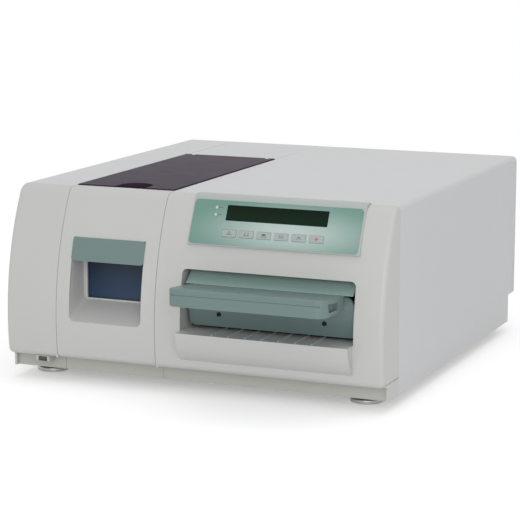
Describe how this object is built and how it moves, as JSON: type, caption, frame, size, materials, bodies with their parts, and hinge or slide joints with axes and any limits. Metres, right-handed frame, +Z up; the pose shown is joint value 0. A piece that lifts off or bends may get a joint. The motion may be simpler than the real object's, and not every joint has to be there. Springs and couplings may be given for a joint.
{
  "type": "cassette autoclave",
  "caption": "Low bench-top steam steriliser with a bowed front, slide-out cassette, bottle drawer, tilted control panel and hinged smoked reservoir lid",
  "frame": {"origin": "centre of the bounding box on the bench plane", "axes": "X to the right, -Y towards the user, Z up"},
  "size_m": [0.55, 0.688, 0.2682],
  "materials": {
    "case_moulding": "fine matt moulded texture, light grey",
    "cover_paint": "satin light grey powder coat",
    "green_moulding": "satin moulded grey-green",
    "keypad_film": "printed film, pale green, satin",
    "bezel_grey": "fine matt grey",
    "smoked_acrylic": "smoked, polished, translucent",
    "blue_bottle": "blow-moulded, dark blue, translucent",
    "display_glass": "tinted window, polished",
    "key_plastic": "fine matt",
    "key_red": "fine matt",
    "pan_paint": "satin grey powder coat",
    "zinc_steel": "bright zinc plate",
    "stainless": "fine brushed",
    "seal_rubber": "moulded silicone",
    "black_plastic": "fine matt black",
    "tank_plastic": "natural polyethylene",
    "foot_metal": "satin turned steel",
    "foot_rubber": "moulded rubber",
    "brass": "machined",
    "board_green": "solder mask",
    "vial_acrylic": "clear moulded",
    "light_pipe": "clear moulded"
  },
  "bodies": {
    "case": {"front_fascia": "case_moulding", "case_cover": "cover_paint", "rear_top_panel": "cover_paint", "base_pan": "pan_paint", "reservoir_tank": "tank_plastic", "filler_strainer": "tank_plastic", "lid_hinge_pins": "zinc_steel", "drawer_runners": "zinc_steel", "control_bezel": "bezel_grey", "keypad_overlay": "keypad_film", "display_window": "display_glass", "display_module": "black_plastic", "key_board": "board_green", "status_lights": "light_pipe", "cassette_chamber": "zinc_steel", "probe_block": "brass", "rear_feet": "foot_rubber", "vial_housing": "case_moulding", "level_vial": "vial_acrylic", "service_panel": "pan_paint", "exhaust_fitting": "brass", "exhaust_nut": "brass", "power_inlet": "black_plastic", "switch_frame": "black_plastic", "data_port": "black_plastic", "fan_frame": "black_plastic", "steam_generator": "stainless", "water_pump": "zinc_steel", "solenoid_valve": "brass", "air_compressor": "black_plastic", "air_filter": "tank_plastic", "filter_bracket": "zinc_steel", "power_supply": "zinc_steel", "controller_board": "board_green", "service_screws": "zinc_steel"},
    "cassette": {"cassette_tray": "stainless", "cassette_seal": "seal_rubber", "cassette_lid": "stainless", "instrument_rack": "stainless", "cassette_lid_front": "green_moulding", "cassette_handle": "green_moulding", "handle_screws": "zinc_steel"},
    "bottle_drawer": {"drawer_front": "case_moulding", "drawer_pull": "green_moulding", "drawer_carrier": "tank_plastic", "waste_bottle": "blue_bottle"},
    "bottle_cap": {"bottle_cap": "black_plastic"},
    "lid": {"reservoir_lid": "smoked_acrylic"},
    "filler_cap": {"filler_cap": "green_moulding"},
    "rocker": {"power_rocker": "black_plastic"},
    "fan": {"fan_rotor": "black_plastic"},
    "left_foot": {"front_left_foot": "foot_metal"},
    "right_foot": {"front_right_foot": "foot_metal"},
    "key_1": {"key_1": "key_plastic"},
    "key_2": {"key_2": "key_plastic"},
    "key_3": {"key_3": "key_plastic"},
    "key_4": {"key_4": "key_plastic"},
    "key_5": {"key_5": "key_plastic"},
    "key_6": {"key_6": "key_red"}
  },
  "joints": [
    {"name": "cassette_slide", "type": "slide", "parent": "case", "child": "cassette", "axis": [0, -1, 0], "range_m": [0, 0.4]},
    {"name": "drawer_slide", "type": "slide", "parent": "case", "child": "bottle_drawer", "axis": [0, -1, 0], "range_m": [0, 0.33]},
    {"name": "lid_hinge", "type": "hinge", "parent": "case", "child": "lid", "pos_m": [-0.1225, 0.1415, 0.2645], "axis": [-1, 0, 0], "range_deg": [0, 95]},
    {"name": "filler_cap_turn", "type": "hinge", "parent": "case", "child": "filler_cap", "pos_m": [-0.122, -0.116, 0.244], "axis": [0, 0, 1], "continuous": true},
    {"name": "bottle_cap_turn", "type": "hinge", "parent": "bottle_drawer", "child": "bottle_cap", "pos_m": [-0.1225, -0.166, 0.188], "axis": [0, 0, 1], "continuous": true},
    {"name": "rocker_tip", "type": "hinge", "parent": "case", "child": "rocker", "pos_m": [0.197, 0.323, 0.104], "axis": [1, 0, 0], "range_deg": [-8, 8]},
    {"name": "fan_spin", "type": "hinge", "parent": "case", "child": "fan", "pos_m": [-0.1, 0.311, 0.15], "axis": [0, 1, 0], "continuous": true},
    {"name": "left_foot_turn", "type": "hinge", "parent": "case", "child": "left_foot", "pos_m": [-0.244, -0.199, 0.01], "axis": [0, 0, 1], "continuous": true},
    {"name": "right_foot_turn", "type": "hinge", "parent": "case", "child": "right_foot", "pos_m": [0.226, -0.199, 0.01], "axis": [0, 0, 1], "continuous": true},
    {"name": "key_1_press", "type": "slide", "parent": "case", "child": "key_1", "axis": [0, 0.9033, -0.4289], "range_m": [0, 0.0005], "stiffness_N_per_m": 200},
    {"name": "key_2_press", "type": "slide", "parent": "case", "child": "key_2", "axis": [0, 0.9033, -0.4289], "range_m": [0, 0.0005], "stiffness_N_per_m": 200},
    {"name": "key_3_press", "type": "slide", "parent": "case", "child": "key_3", "axis": [0, 0.9033, -0.4289], "range_m": [0, 0.0005], "stiffness_N_per_m": 200},
    {"name": "key_4_press", "type": "slide", "parent": "case", "child": "key_4", "axis": [0, 0.9033, -0.4289], "range_m": [0, 0.0005], "stiffness_N_per_m": 200},
    {"name": "key_5_press", "type": "slide", "parent": "case", "child": "key_5", "axis": [0, 0.9033, -0.4289], "range_m": [0, 0.0005], "stiffness_N_per_m": 200},
    {"name": "key_6_press", "type": "slide", "parent": "case", "child": "key_6", "axis": [0, 0.9033, -0.4289], "range_m": [0, 0.0005], "stiffness_N_per_m": 200}
  ]
}
